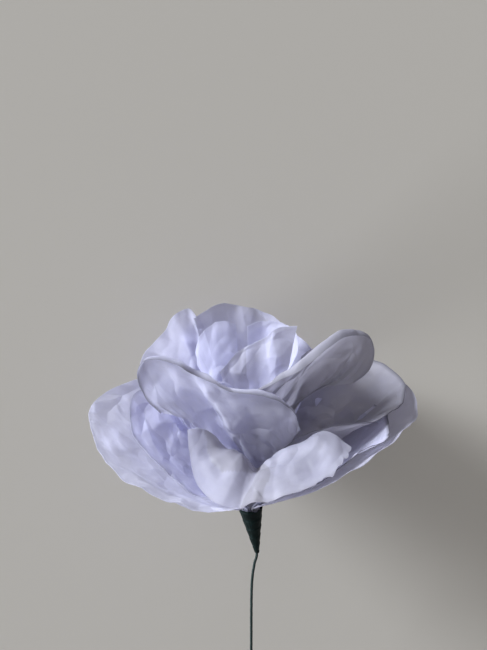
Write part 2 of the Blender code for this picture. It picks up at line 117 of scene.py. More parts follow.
# Petals from the innermost outwards. Each is laid over the ones before it.
# ring and foot: where its gathered foot is held, as the ring's number and a bearing.
# waist: stations of the line that its ribs bend towards, with bearings counted from the foot's.
# rim: stations (bearing, reach, height) from one side of the petal to the other.
# roll: radius of a rim that is turned over outwards.
# under: inner petals that lean out over this one, so that it isn't laid over them.
# freeEdge: its first side stands free, so that a petal behind that edge isn't brought through it.
# creases: (across, along) of each end as shares of the petal, depth and half width.
# grid: columns across and rows from the mouth to the rim.
petals = {
    "petal_heart_front": dict(
        ring=1, foot=285, waist=arc(0, 96, 6.5, 20), grid=(8, 7),
        rim=[(228, 12.0, 45.5), (255, 12.0, 52.0), (281, 12.0, 55.8), (302, 13.5, 58.0), (318, 16.4, 58.6)],
        creases=[((0.55, 1.0), (0.45, 0.35), 1.1, 3.0)]),
    "petal_heart_left": dict(
        ring=1, foot=160, waist=arc(0, 96, 6.5, 20), grid=(8, 7),
        rim=[(112, 11.0, 53.5), (130, 12.5, 54.5), (150, 14.0, 53.5), (172, 15.0, 50.0), (196, 15.0, 45.5)]),
    "petal_heart_back": dict(
        ring=1, foot=45, waist=arc(0, 96, 6.5, 20), grid=(8, 7),
        rim=[(352, 13.0, 50.5), (15, 13.5, 53.0), (42, 13.5, 54.0), (70, 13.0, 54.0), (94, 12.0, 52.5)]),
    "petal_crown_back": dict(
        ring=2, foot=92, waist=arc(0, 90, 9.0, 20), grid=(9, 7),
        rim=[(46, 16.5, 49.5), (60, 18.0, 53.0), (79, 19.5, 55.2), (99, 20.0, 57.0), (118, 21.5, 57.3),
             (138, 22.5, 53.8)]),
    "petal_crown_right": dict(
        ring=2, foot=345, waist=arc(-3, 84, 9.0, 20), grid=(9, 7),
        rim=[(306, 15.5, 44.0), (325, 18.0, 47.5), (342, 20.5, 50.8), (358, 20.0, 50.5), (12, 18.0, 48.0),
             (25, 16.0, 45.0)]),
    "petal_crown_front": dict(
        ring=2, foot=228, waist=arc(0, 90, 9.0, 20), grid=(9, 7),
        rim=[(186, 18.0, 43.0), (208, 16.5, 44.5), (232, 14.5, 43.5), (255, 14.0, 42.0), (272, 13.5, 40.0)]),
    "petal_cup_left": dict(
        ring=3, foot=165, waist=arc(0, 76, 11.0, 20), grid=(11, 8),
        rim=[(123, 26.0, 50.0), (134, 26.5, 56.2), (147, 27.0, 54.9), (160, 26.8, 51.9), (174, 28.8, 48.5),
             (184, 31.0, 44.8), (196, 27.5, 40.0)],
        creases=[((0.28, 1.0), (0.40, 0.45), 1.0, 3.0)]),
    "petal_cup_right": dict(
        ring=3, foot=292, waist=[(-24, 11.0, 18.0), (1, 13.0, 28.0), (-6, 14.0, 42.0)],
        grid=(14, 8), roll=1.5,
        rim=[(276, 16.0, 42.4), (302, 18.6, 47.6), (318, 22.4, 53.4), (329, 25.0, 56.4), (337, 27.4, 57.0),
             (341, 29.9, 56.3), (343, 31.8, 54.0), (343, 32.3, 50.2), (341, 31.5, 46.2), (338, 29.4, 42.8)]),
    "petal_cup_back": dict(
        ring=4, foot=95, waist=arc(-3, 90, 12.0, 18), grid=(11, 8),
        rim=[(40, 25.0, 44.0), (60, 28.5, 46.5), (82, 28.0, 49.5), (104, 29.0, 51.0), (128, 29.5, 50.0),
             (146, 27.5, 49.0)]),
    "petal_cup_front": dict(
        ring=4, foot=275, waist=[(-26, 19.0, 34.0), (-14, 16.5, 27.0), (4, 14.0, 19.0), (18, 16.0, 20.0)],
        grid=(16, 9), roll=1.1, freeEdge=True,
        rim=[(211, 27.6, 35.4), (207, 29.6, 38.5), (201, 30.6, 43.0), (198, 30.2, 47.0), (201, 28.2, 49.8),
             (209, 24.5, 50.0), (222, 21.4, 48.4), (234, 18.9, 46.0), (246, 18.4, 44.2), (262, 18.6, 42.6),
             (277, 19.4, 42.3), (291, 20.6, 41.0), (302, 20.6, 38.0), (310, 20.6, 31.6)],
        creases=[((0.42, 1.0), (0.60, 0.35), -1.3, 3.5)]),
    "petal_right": dict(
        ring=5, foot=3, waist=[(-45, 14.0, 20.0), (-8, 12.0, 14.0), (37, 12.0, 14.0)], grid=(12, 9),
        rim=[(303, 16.5, 26.0), (311, 24.0, 31.8), (320, 30.6, 34.4), (336, 38.4, 35.6), (349, 42.3, 36.4),
             (4, 45.2, 36.7), (20, 46.3, 37.7), (36, 44.5, 38.8), (50, 38.0, 40.0)]),
    "petal_back_left": dict(
        ring=5, foot=125, waist=arc(0, 100, 12.0, 14.0), grid=(12, 9),
        rim=[(72, 30.0, 42.5), (90, 34.0, 41.5), (108, 36.0, 41.0), (126, 35.5, 41.0), (142, 32.5, 41.0),
             (156, 29.5, 39.5), (169, 27.0, 37.0)]),
    "petal_front": dict(
        ring=5, foot=258, waist=[(-4, 22.5, 37.0), (33, 15.3, 31.5), (42, 16.5, 38.0), (50, 18.5, 42.0)],
        grid=(13, 9),
        rim=[(222, 22.5, 31.0), (225, 23.0, 26.5), (233, 24.8, 20.4), (246, 29.0, 17.8), (258, 33.5, 18.2),
             (270, 35.5, 19.8), (284, 37.2, 23.0), (297, 38.0, 25.4), (306, 38.6, 27.7), (316, 35.6, 30.4)],
        creases=[((0.52, 1.0), (0.48, 0.45), 1.1, 4.0)]),
    "petal_lower_left": dict(
        ring=6, foot=212, waist=arc(-8, 104, 11.0, 10.0), grid=(12, 9), under=["petal_cup_front"],
        rim=[(158, 32.0, 34.0), (168, 33.4, 33.8), (178, 34.3, 33.3), (194, 34.4, 29.6), (210, 33.0, 25.6),
             (226, 32.0, 21.8), (240, 31.0, 18.8), (251, 29.0, 17.0)],
        creases=[((0.78, 1.0), (0.66, 0.40), -1.2, 4.0)]),
    "petal_lower_right": dict(
        ring=6, foot=328, waist=arc(2, 90, 11.0, 10.0), grid=(12, 9),
        rim=[(288, 33.0, 20.5), (301, 37.2, 25.1), (313, 38.9, 29.7), (320, 41.0, 31.4), (327, 42.2, 32.7),
             (341, 39.2, 33.3), (354, 36.0, 34.5), (8, 33.0, 36.0)]),
    "petal_lower_back": dict(
        ring=6, foot=92, waist=arc(6, 106, 10.5, 9.5), grid=(12, 9),
        rim=[(35, 34.0, 37.5), (55, 37.5, 37.0), (78, 37.5, 38.0), (103, 38.0, 37.5), (128, 37.5, 36.5),
             (150, 35.0, 35.0), (166, 30.0, 32.0)]),
    "petal_outer_left": dict(
        ring=7, foot=206, waist=arc(0, 100, 9.5, 5.5), grid=(12, 9), under=["petal_cup_front"],
        rim=[(146, 40.5, 32.2), (154, 43.6, 31.6), (166, 46.6, 31.0), (181, 46.5, 30.0), (200, 44.6, 27.2),
             (220, 43.2, 23.4), (238, 40.0, 20.9), (254, 37.0, 18.4), (266, 36.0, 18.8)],
        creases=[((0.30, 1.0), (0.40, 0.35), -1.0, 5.0)]),
    "petal_outer_right": dict(
        ring=7, foot=326, waist=arc(0, 100, 9.5, 5.5), grid=(12, 9),
        rim=[(276, 33.0, 18.4), (289, 37.0, 22.3), (306, 39.6, 26.4), (322, 43.0, 31.0), (341, 45.2, 32.5),
             (356, 47.3, 34.1), (10, 47.2, 35.8), (22, 44.0, 36.0)]),
    "petal_outer_back": dict(
        ring=7, foot=88, waist=arc(0, 100, 9.5, 5.5), grid=(12, 9),
        rim=[(30, 44.0, 34.0), (46, 48.0, 32.5), restRim(90 - rest["halfAngle"]), restRim(90),
             restRim(90 + rest["halfAngle"]), (134, 48.0, 31.5), (146, 43.0, 31.0)]),
}


# A point from its bearing in degrees, its reach from the axis and its height
def flowerPoint(bearing, reach, height):
    turn = radians(bearing)
    return Vector((reach * cos(turn), reach * sin(turn), height))


# The stations with bearings that never jump by more than half a turn
def unwound(stations):
    result = [stations[0]]
    for bearing, reach, height in stations[1:]:
        last = result[-1][0]
        result.append((last + (bearing - last + 180) % 360 - 180, reach, height))
    return result


# Points of a Catmull-Rom curve through the given ones, with steps to each span
def smoothCurve(points, steps):
    ends = [points[0] * 2 - points[1]] + list(points) + [points[-1] * 2 - points[-2]]
    curve = []
    for a, b, c, d in zip(ends, ends[1:], ends[2:], ends[3:]):
        for step in range(steps):
            t = step / steps
            curve.append(0.5 * (2 * b + (c - a) * t + (2 * a - 5 * b + 4 * c - d) * t * t
                                + (3 * b - a - 3 * c + d) * t * t * t))
    return curve + [points[-1].copy()]


# The curve's points read again at equal distances along it
def evenlySpaced(curve, count):
    travelled = [0.0]
    for start, end in zip(curve, curve[1:]):
        travelled.append(travelled[-1] + (end - start).length)
    spaced = []
    span = 0
    for index in range(count):
        target = travelled[-1] * index / (count - 1)
        while span < len(curve) - 2 and travelled[span + 1] < target:
            span += 1
        share = (target - travelled[span]) / (travelled[span + 1] - travelled[span])
        spaced.append(curve[span].lerp(curve[span + 1], share))
    return spaced


# The axis of the calyx and the feet: upright above the mouth, leaning below it
def centreLine(height):
    return Vector((calyx["lean"] * max(0.0, -height), 0.0, height))


# Radius at which the feet of one ring are gathered
def ringRadius(ring):
    return rings["first"] + (ring - 1) * rings["pitch"]


# Inner radii of the calyx at its mouth and at its tip
def calyxBore():
    tip = wire["radius"] + paper["footGap"]
    seat = ringRadius(rings["last"]) + paper["thickness"] / 2 + paper["footGap"]
    depthShare = calyx["footDepth"] / calyx["length"]
    return (seat - depthShare * tip) / (1 - depthShare), tip


# How deep a foot of this radius goes before it meets the taper of the calyx
def footHeight(radius):
    mouth, tip = calyxBore()
    return -calyx["length"] * (mouth - radius - paper["thickness"] / 2 - paper["footGap"]) / (mouth - tip)


# Point t of a cubic curve from a to d
def bezier(a, b, c, d, t):
    s = 1 - t
    return a * s ** 3 + b * (3 * s * s * t) + c * (3 * s * t * t) + d * t ** 3


# A rib above the mouth, from its foot past its waist to the rim
def ribAbove(foot, waist, top, rows):
    low, high = foot.lerp(waist, ribbing["bend"]), top.lerp(waist, ribbing["bend"])
    return [bezier(foot, low, high, top, step / (rows - 1)) for step in range(rows)]


# The rib with its rim turned over outwards, as more points on an arc
def rolledOver(rib, radius, outward):
    top = rib[-1]
    along = (top - rib[-2]).normalized()
    over = (outward - along * outward.dot(along)).normalized()
    return rib + [top + along * (radius * sin(radians(angle))) + over * (radius * (1 - cos(radians(angle))))
                  for angle in ribbing["rimTurns"]]


# Evenly spaced points on a smooth line through stations round the flower
def stationLine(stations, count):
    points = [flowerPoint(*station) for station in unwound(stations)]
    return evenlySpaced(smoothCurve(points, ribbing["curveSteps"]), count)


# A petal's middle surface as ribs, each a list of points from the foot to the rim
def petalRibs(spec):
    columns, rows = spec["grid"]
    radius = ringRadius(spec["ring"])
    waists = stationLine([(spec["foot"] + turn, reach, height) for turn, reach, height in spec["waist"]],
                          columns + 1)
    tops = stationLine(spec["rim"], columns + 1)
    ribs = []
    for column, (waist, top) in enumerate(zip(waists, tops)):
        bearing = spec["foot"] + (column / columns - 0.5) * rings["footSpread"]
        foot = flowerPoint(bearing, radius, 0.0)
        rib = [foot + centreLine(footHeight(radius))] + ribAbove(foot, waist, top, rows)
        if "roll" in spec:
            endShare = min(column, columns - column) / columns
            radiusHere = spec["roll"] * min(1.0, ribbing["rollEnds"] + ribbing["rollGrowth"] * endShare)
            rib = rolledOver(rib, radiusHere, Vector((top.x, top.y, 0.0)).normalized())
        ribs.append(rib)
    return ribs


# Outward normal at each point of a sheet of ribs
def surfaceNormals(ribs):
    normals = []
    for i, rib in enumerate(ribs):
        before, after = ribs[max(i - 1, 0)], ribs[min(i + 1, len(ribs) - 1)]
        row = []
        for j in range(len(rib)):
            across = after[j] - before[j]
            along = rib[min(j + 1, len(rib) - 1)] - rib[max(j - 1, 0)]
            row.append(across.cross(along).normalized())
        normals.append(row)
    return normals


# Folds the sheet to a ridge along a line between two places on it
def crease(ribs, start, end, depth, halfWidth):
    columns, rows = len(ribs) - 1, len(ribs[0]) - 1

    def place(across, along):
        i, j = across * columns, along * rows
        lowI, lowJ = min(int(i), columns - 1), min(int(j), rows - 1)
        first = ribs[lowI][lowJ].lerp(ribs[lowI + 1][lowJ], i - lowI)
        second = ribs[lowI][lowJ + 1].lerp(ribs[lowI + 1][lowJ + 1], i - lowI)
        return first.lerp(second, j - lowJ)

    head, tail = place(*start), place(*end)
    line = tail - head
    normals = surfaceNormals(ribs)
    for i, rib in enumerate(ribs):
        for j in range(2, len(rib)):
            share = min(1.0, max(0.0, (rib[j] - head).dot(line) / line.length_squared))
            away = (rib[j] - head - line * share).length
            rib[j] = rib[j] + normals[i][j] * depth * max(0.0, 1 - away / halfWidth)


# Corner numbers of the quads between the ribs, facing outwards
def sheetFaces(ribs):
    rows = len(ribs[0])
    return [(i * rows + j, (i + 1) * rows + j, (i + 1) * rows + j + 1, i * rows + j + 1)
            for i in range(len(ribs) - 1) for j in range(rows - 1)]


# A sheet in its place: a search tree, and how many of its first faces are along a free edge
def placedSheet(ribs, freeEdge=False):
    tree = BVHTree.FromPolygons([p for rib in ribs for p in rib], sheetFaces(ribs))
    return tree, len(ribs[0]) - 1 if freeEdge else 0


# The move that brings a point this far outside a placed sheet, if it is on the same side
def pushOutwards(point, sheet, clearance):
    tree, edgeFaces = sheet
    near, normal, face, away = tree.find_nearest(point, easing["reach"])
    if near is None or near.xy.dot(point.xy) < easing["sameSide"] * near.xy.length * point.xy.length:
        return Vector()
    side = (point - near).dot(normal)
    beside = away >= clearance and (side > -easing["squareOn"] * away or face < edgeFaces)
    if side >= clearance or beside or side < -easing["depth"]:
        return Vector()
    return normal * ((clearance - side) * easing["share"])


# Lays a petal over the ones inside it: its points move outwards until they clear them all
def easeOutwards(ribs, placed):
    columns, rows = len(ribs), len(ribs[0])
    shift = [[Vector() for _ in rib] for rib in ribs]
    for turn in range(easing["passes"]):
        for i, rib in enumerate(ribs):
            for j in range(2, rows):
                rise = (rib[j] - rib[1]).length
                clearance = min(paper["clearance"], rings["pitch"] + rise * easing["clearanceSlope"])
                for sheet in placed:
                    shift[i][j] += pushOutwards(rib[j] + shift[i][j], sheet, clearance)
        if turn < easing["passes"] - easing["settlingPasses"]:
            shift = [[meanShift(shift, i, j) if j > 1 else Vector() for j in range(rows)]
                     for i in range(columns)]
    for rib, moves in zip(ribs, shift):
        for j, move in enumerate(moves):
            rib[j] = rib[j] + move


# A point's shift, evened out with its neighbours'
def meanShift(shift, i, j):
    around = [shift[a][b] for a, b in ((i - 1, j), (i + 1, j), (i, j - 1), (i, j + 1))
              if 0 <= a < len(shift) and 0 <= b < len(shift[0])]
    return shift[i][j] * easing["own"] + sum(around, Vector()) * ((1 - easing["own"]) / len(around))


# The rolled centre: one strip wound round the wire and opening towards its rim
def rollRibs():
    reachShare, heightShare = roll["waist"]
    ribs = []
    for column in range(roll["columns"] + 1):
        turns = roll["turns"] * column / roll["columns"]
        footRadius = rings["rollFoot"] + turns * rings["pitch"]
        rimRadius = roll["lean"] + turns * roll["opening"]
        height = roll["height"] + roll["unevenness"] * sin(tau * turns + 1.0) - roll["drop"] * turns
        foot = flowerPoint(360 * turns, footRadius, 0.0)
        rim = flowerPoint(360 * turns, rimRadius, height)
        waistRadius = footRadius + (rimRadius - footRadius) * reachShare
        waist = flowerPoint(360 * turns, waistRadius, height * heightShare)
        ribs.append([foot + centreLine(footHeight(footRadius))] + ribAbove(foot, waist, rim, roll["rows"]))
    return ribs


# Finer paper: what a sheet of crepe shows close to. Lengths are in millimetres.
crumple = dict(
    depth=1.15,
    facets=[            # direction across a set of folds, width from ridge to ridge, share of the depth
        ((0.83, 0.31, 0.46), 17.0, 1.0),
        ((-0.42, 0.55, 0.72), 14.0, 0.8),
        ((0.12, -0.61, 0.78), 21.0, 0.9),
        ((0.70, 0.62, -0.36), 9.0, 0.45),
    ],
    stray=0.5,          # how far the folds stray from straight lines, as a share of their width
    patch=15.0,         # size of the places where one set of folds shows and another fades
    contrast=2.2,       # how quickly a set of folds fades from place to place
    fineSize=4.5,
    fineDepth=0.32,
    fineLevel=0.22,     # the mean height of the small crumples, as a share of their depth
    rise=14.0,          # height above the calyx at which the facets reach their full depth
)
gather = dict(
    depth=0.2,
    pleats=11,
    reach=0.5,          # share of the petal's length over which the pleats die out
    stray=3.0,          # how far the pleats stray from even distances, in radians
    strayWaves=5.0,     # how often they do so across the petal
)
rimWave = dict(
    depth=0.45,
    waves=3.5,
    trim=0.45,          # how unevenly the rim is cut
    trimWaves=9.0,
    share=0.22,         # share of the petal's length that the wave takes up
)
tearing = dict(
    seed=7,
    broadTeeth=19.0,    # scallops in a petal's width
    broad=0.9,          # their share of the tear's depth
    narrowTeeth=70.0,   # nicks in the same width
    narrow=0.7,
    ragged=0.2,         # share of the depth by which single points differ
    ends=0.02,          # share of the petal's width in which a tear deepens from its ends
    falloff=6,          # the higher, the nearer to the rim a tear's pull stays
)
finePaper = dict(
    columns=96,
    rows=66,
    closer=1.4,         # how much finer the grid is on a petal with folds of its own
    rolledColumns=2,    # how many times as many columns the rolled centre has
    rolledCrumple=0.3,  # how much of the crumples it shows
    thickness=0.12,
    stripEdge=0.08,     # part of a wound turn in which it drops to the next
    smoothAngle=60.0,   # degrees up to which two faces are shaded as one
    mapStep=37.0,       # how far apart on the paper's map one piece starts from the next
    foldWidth=0.8,      # half width of the painted highlight along a fold
    foldHighlight=0.7,
    foldEnds=4,         # how quickly the painted highlight grows from a fold's ends
    rimShadeTone=0.12,       # how dark the painted shadow along a plain cut edge is
    rimFade=0.4,        # how much of that is left one row further in
)
# Sharp folds of single petals: both ends as shares across and along the petal, depth and half width
folds = {
    "petal_cup_front": [
        ((0.448, 1.0), (0.469, 0.85), 0.7, 3.0), ((0.469, 0.85), (0.552, 0.712), 0.8, 3.2),
        ((0.552, 0.712), (0.719, 0.53), 0.8, 3.2), ((0.833, 0.939), (0.969, 0.955), 0.9, 3.0),
        ((0.146, 0.939), (0.167, 0.682), 0.4, 5.0), ((0.70, 1.0), (0.70, 0.60), -0.5, 8.0),
    ],
    "petal_front": [
        ((0.479, 0.712), (0.46, 0.985), 1.3, 4.0), ((0.545, 0.70), (0.535, 0.985), -1.8, 4.5),
        ((0.021, 0.909), (0.146, 0.879), 0.5, 3.0), ((0.146, 0.879), (0.26, 0.864), 0.5, 3.0),
        ((0.26, 0.864), (0.49, 0.742), 0.5, 3.5),
        ((0.927, 0.727), (0.781, 0.924), 0.7, 4.0), ((0.885, 0.864), (0.70, 0.99), 0.6, 4.0),
    ],
    "petal_lower_left": [
        ((0.052, 0.69), (0.90, 0.93), 0.8, 5.0), ((0.094, 0.727), (0.72, 1.0), -0.6, 4.0),
    ],
    "petal_outer_left": [
        ((0.104, 0.894), (0.542, 0.894), 0.6, 5.0), ((0.646, 0.97), (0.948, 0.93), 0.6, 4.0),
        ((0.30, 0.60), (0.50, 1.0), 0.5, 5.0),
    ],
    "petal_cup_left": [
        ((0.167, 0.97), (0.125, 0.80), 0.5, 4.0), ((0.51, 0.879), (0.677, 0.985), 0.6, 4.0),
        ((0.292, 0.894), (0.302, 0.70), 0.5, 4.0),
    ],
    "petal_crown_back": [
        ((0.677, 0.985), (0.708, 0.70), 0.4, 5.0), ((0.344, 1.0), (0.229, 0.80), 0.5, 4.0),
    ],
    "petal_heart_left": [
        ((0.469, 1.0), (0.396, 0.80), 0.7, 4.0), ((0.70, 0.96), (0.60, 0.70), 0.5, 4.0),
    ],
    "petal_heart_front": [
        ((0.583, 1.0), (0.406, 0.894), 0.8, 4.0), ((0.406, 0.894), (0.042, 1.0), 0.6, 3.5),
        ((0.625, 0.985), (0.75, 0.80), 0.7, 3.0),
    ],
    "petal_cup_right": [
        ((0.99, 0.93), (0.60, 0.80), 0.4, 6.0),
    ],
    "petal_right": [
        ((1.0, 0.80), (0.75, 0.45), 0.5, 6.0), ((0.62, 1.0), (0.50, 0.40), 0.5, 8.0),
        ((0.30, 1.0), (0.42, 0.40), 0.5, 8.0),
    ],
    "petal_lower_right": [
        ((0.458, 0.833), (0.50, 0.94), 0.4, 2.5), ((0.781, 0.985), (0.708, 0.70), 0.5, 4.0),
    ],
}
# How greyed the paper of a petal is, partly by another ply showing through and partly by painted shade:
# greyer, with less light coming through
plyAndShade = {
    "petal_cup_front": 0.12,
    "petal_front": 0.4,
    "petal_right": 0.68,
    "petal_cup_right": 0.58,
    "petal_outer_right": 0.3,
    "petal_lower_right": 0.15,
    "petal_crown_back": 0.3,
    "petal_crown_right": 0.6,
    "petal_cup_left": 0.2,
    "petal_outer_left": 0.1,
}
# Stretches that are greyed more, by another ply and by painted shade: corners as shares across and along the
# petal, and by how much
lappedAndShaded = {
    "petal_front": [
        ([(-0.1, 0.905), (0.146, 0.879), (0.26, 0.864), (0.49, 0.742), (0.6, 0.4), (-0.1, 0.4)], 0.25),
        ([(0.479, 0.5), (0.46, 1.1), (0.56, 1.1), (0.58, 0.5)], 0.25),
    ],
    "petal_heart_front": [([(-0.1, 0.4), (-0.1, 1.1), (0.44, 1.1), (0.44, 0.4)], 0.3)],
    "petal_cup_front": [
        ([(0.448, 1.1), (0.469, 0.85), (0.552, 0.712), (0.719, 0.53), (1.1, 0.4), (1.1, 1.1)], 0.12),
    ],
    "petal_lower_left": [
        ([(0.10, 1.1), (0.52, 0.60), (0.52, 0.4), (-0.1, 0.4), (-0.1, 1.1)], 0.15),
    ],
}
# Rims with a painted shadow line along their cut edge, darker than on the plain ones
rimShade = {
    "petal_cup_front": 0.6,
    "petal_right": 0.8,
    "petal_lower_right": 0.9,
    "petal_lower_left": 0.3,
    "petal_cup_right": 0.3,
}
# Where the bend of a petal that turns over stands higher: share across and millimetres
higher = {
    "petal_front": [(0.0, 0.0), (0.08, 1.4), (0.18, 3.2), (0.30, 3.0), (0.40, 1.4), (0.47, -0.5),
                    (0.54, -0.4), (0.62, 0.0), (1.0, 0.0)],
}
bend = dict(
    place=0.68,         # where the bend lies along the petal, as a share of its length
    reach=0.34,         # how far from there the paper is raised with it
)
# Torn stretches of a rim: from and to as shares across the petal, and how deep the tears are
torn = {
    "petal_front": (0.77, 0.98, 2.6),
    "petal_lower_right": (0.36, 0.56, 1.2),
}


# The sheet read again on a finer grid, by smooth lines along and across its ribs
def fineSheet(ribs, columns, rows):
    steps = ribbing["curveSteps"]
    along = [evenlySpaced(smoothCurve(rib, steps), rows + 1) for rib in ribs]
    across = [evenlySpaced(smoothCurve([line[j] for line in along], steps), columns + 1)
              for j in range(rows + 1)]
    return [[across[j][i] for j in range(rows + 1)] for i in range(columns + 1)]


# Flat facets between straight folds, which come and go from place to place, with small crumples
def facetDepth(point, seed):
    total = 0.0
    for index, (direction, width, share) in enumerate(crumple["facets"]):
        drift = Vector((index * 7.3, seed * 0.31, index * 2.1))
        stray = crumple["stray"] * noise.noise(point / crumple["patch"] + drift)
        wave = abs((point.dot(Vector(direction).normalized()) / width + stray) % 1.0 * 2 - 1) - 0.5
        shown = 0.5 + crumple["contrast"] * noise.noise(point / crumple["patch"] - drift)
        total += wave * share * min(1.0, max(0.0, shown))
    fine = abs(noise.noise(point / crumple["fineSize"] + Vector((seed * 3.1, 0.0, 0.0))))
    return crumple["depth"] * total + crumple["fineDepth"] * (fine - crumple["fineLevel"])


# A value read off a line of (place, value) stations
def readOff(stations, place):
    for (a, low), (b, high) in zip(stations, stations[1:]):
        if place <= b:
            return low + (high - low) * (place - a) / (b - a)
    return stations[-1][1]


# Raises the bend of a petal by the heights given across it
def raiseBend(sheet, stations):
    for i, rib in enumerate(sheet):
        height = readOff(stations, i / (len(sheet) - 1))
        for j in range(len(rib)):
            share = max(0.0, 1 - abs(j / (len(rib) - 1) - bend["place"]) / bend["reach"])
            rib[j] = rib[j] + Vector((0.0, 0.0, height * share * share * (3 - 2 * share)))


# How far a torn rim is bitten back here
def tearDepth(u, seed, start, end, depth):
    inside = min(1.0, max(0.0, min(u - start, end - u) / tearing["ends"]))
    broad = abs(noise.noise(Vector((u * tearing["broadTeeth"], seed, 2.0))))
    narrow = abs(noise.noise(Vector((u * tearing["narrowTeeth"], seed, 5.0))))
    teeth = tearing["broad"] * broad + tearing["narrow"] * narrow * broad
    return inside * depth * (teeth + tearing["ragged"] * noise.random())


# Crumples, gathers and an uneven rim, and a torn one where the petal has it
def workPaper(sheet, seed, liveliness, tear):
    columns, rows = len(sheet) - 1, len(sheet[0]) - 1
    normals = surfaceNormals(sheet)
    for i, rib in enumerate(sheet):
        u = i / columns
        swing = noise.noise(Vector((u * rimWave["waves"] * 2, seed * 5.3, 0.0)))
        trim = rimWave["trim"] * noise.noise(Vector((u * rimWave["trimWaves"], seed * 2.9, 4.0)))
        stray = gather["stray"] * noise.noise(Vector((u * gather["strayWaves"], seed, 1.0)))
        pleat = sin(tau * gather["pleats"] * u + stray)
        rimwards = (rib[-1] - rib[-2]).normalized()
        bite = tearDepth(u, seed, *tear) if tear else 0.0
        for j in range(1, rows + 1):
            v = j / rows
            rise = min(1.0, max(0.0, rib[j].z) / crumple["rise"])
            move = facetDepth(rib[j], seed) * rise * liveliness
            move += gather["depth"] * pleat * rise * max(0.0, 1 - v / gather["reach"])
            edge = max(0.0, 1 - (1 - v) / rimWave["share"])
            move += rimWave["depth"] * liveliness * swing * edge * edge
            pull = trim * edge * edge - bite * edge ** tearing["falloff"]
            rib[j] = rib[j] + normals[i][j] * move + rimwards * pull


# A sharp fold along a line between two places on the sheet. A painted highlight is laid along it.
def foldPaper(sheet, highlight, start, end, depth, halfWidth):
    columns, rows = len(sheet) - 1, len(sheet[0]) - 1
    head = sheet[round(start[0] * columns)][round(start[1] * rows)].copy()
    tail = sheet[round(end[0] * columns)][round(end[1] * rows)].copy()
    line = tail - head
    normals = surfaceNormals(sheet)
    for i, rib in enumerate(sheet):
        for j in range(2, rows + 1):
            share = min(1.0, max(0.0, (rib[j] - head).dot(line) / line.length_squared))
            away = (rib[j] - head - line * share).length
            if away < halfWidth:
                rib[j] = rib[j] + normals[i][j] * depth * (1 - away / halfWidth)
                mark = finePaper["foldHighlight"] * (1 - away / finePaper["foldWidth"])
                mark *= min(1.0, finePaper["foldEnds"] * share, finePaper["foldEnds"] * (1 - share))
                highlight[i][j] = max(highlight[i][j], mark)


# Whether a place on a petal lies inside a stretch with these corners
def insideStretch(u, v, corners):
    inside = False
    for (a, b), (c, d) in zip(corners, corners[1:] + corners[:1]):
        if (b > v) != (d > v) and u < a + (v - b) * (c - a) / (d - b):
            inside = not inside
    return inside


# How greyed the paper is at each place of a petal, by another ply and by painted shade
def plyAndShadeOf(name, columns, rows):
    plyShades = []
    for i in range(columns + 1):
        plyShades.append([plyAndShade.get(name, 0.0)] * (rows + 1))
        for corners, more in lappedAndShaded.get(name, ()):
            for j in range(rows + 1):
                if insideStretch(i / columns, j / rows, corners):
                    plyShades[i][j] += more
    return plyShades


# How the flower lies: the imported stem's cut end gives its turn and its place
def lyingMatrix():
    stemEnd = next(mount for mount in frame["record"]["mounts"] if mount["name"] == "stem_end")
    down = Vector(stemEnd["axis"])
    turn = Matrix.Rotation(atan2(down.y, -down.z), 4, "X")
    endPoint = Vector((calyx["lean"] * calyx["length"] * stem["path"][-1][0], 0.0, -stem["length"])) * mm
    return Matrix.Translation(Vector(stemEnd["pos_m"]) - turn @ endPoint) @ turn @ Matrix.Scale(mm, 4)


# A grid laid on a sheet of points, with its map in millimetres
def addGrid(name, sheet, material):
    columns, rows = len(sheet) - 1, len(sheet[0]) - 1
    bpy.ops.object.select_all(action="DESELECT")
    bpy.ops.mesh.primitive_grid_add(x_subdivisions=columns, y_subdivisions=rows, size=1)
    piece = bpy.context.object
    piece.name = piece.data.name = name
    width = sum((a[rows * 2 // 3] - b[rows * 2 // 3]).length for a, b in zip(sheet, sheet[1:]))
    length = sum((a - b).length for a, b in zip(sheet[columns // 2], sheet[columns // 2][1:]))
    start = len(bpy.data.meshes) * finePaper["mapStep"]
    for corner in piece.data.uv_layers.active.data:
        corner.uv = (corner.uv.x * width + start, corner.uv.y * length)
    for vertex in piece.data.vertices:
        i = round((vertex.co.x + 0.5) * columns)
        j = round((vertex.co.y + 0.5) * rows)
        vertex.co = lying @ sheet[i][j]
        vertex.co.z = max(vertex.co.z, finePaper["thickness"] * mm)  # paper on the floor is pressed flat
    piece.data.materials.append(material)
    return piece


# Paints one value for each place of the sheet on the piece's points
def paintPoints(piece, name, values):
    columns, rows = len(values) - 1, len(values[0]) - 1
    layer = piece.data.attributes.new(name, "FLOAT", "POINT")
    for index in range(len(piece.data.vertices)):
        j, i = divmod(index, columns + 1)
        layer.data[index].value = values[i][j]


# Gives a sheet its thickness and smooth faces
def finishSheet(piece, thickness, offset):
    wall = piece.modifiers.new("Thickness", "SOLIDIFY")
    wall.thickness = thickness * mm
    wall.offset = offset
    bpy.context.view_layer.objects.active = piece
    bpy.ops.object.modifier_apply(modifier=wall.name)
    bpy.ops.object.select_all(action="DESELECT")
    piece.select_set(True)
    bpy.ops.object.shade_smooth_by_angle(angle=radians(finePaper["smoothAngle"]))
    piece.select_set(False)


# A node of a tree, with the values of its own sockets
def addNode(tree, kind, **values):
    node = tree.nodes.new(kind)
    for socket, value in values.items():
        node.inputs[socket].default_value = value
    return node


# A grey value spread from one range to another
def spread(tree, value, low, high, toLow=0.0, toHigh=1.0):
    limits = {"From Min": low, "From Max": high, "To Min": toLow, "To Max": toHigh}
    node = addNode(tree, "ShaderNodeMapRange", **limits)
    tree.links.new(value, node.inputs["Value"])
    return node.outputs["Result"]


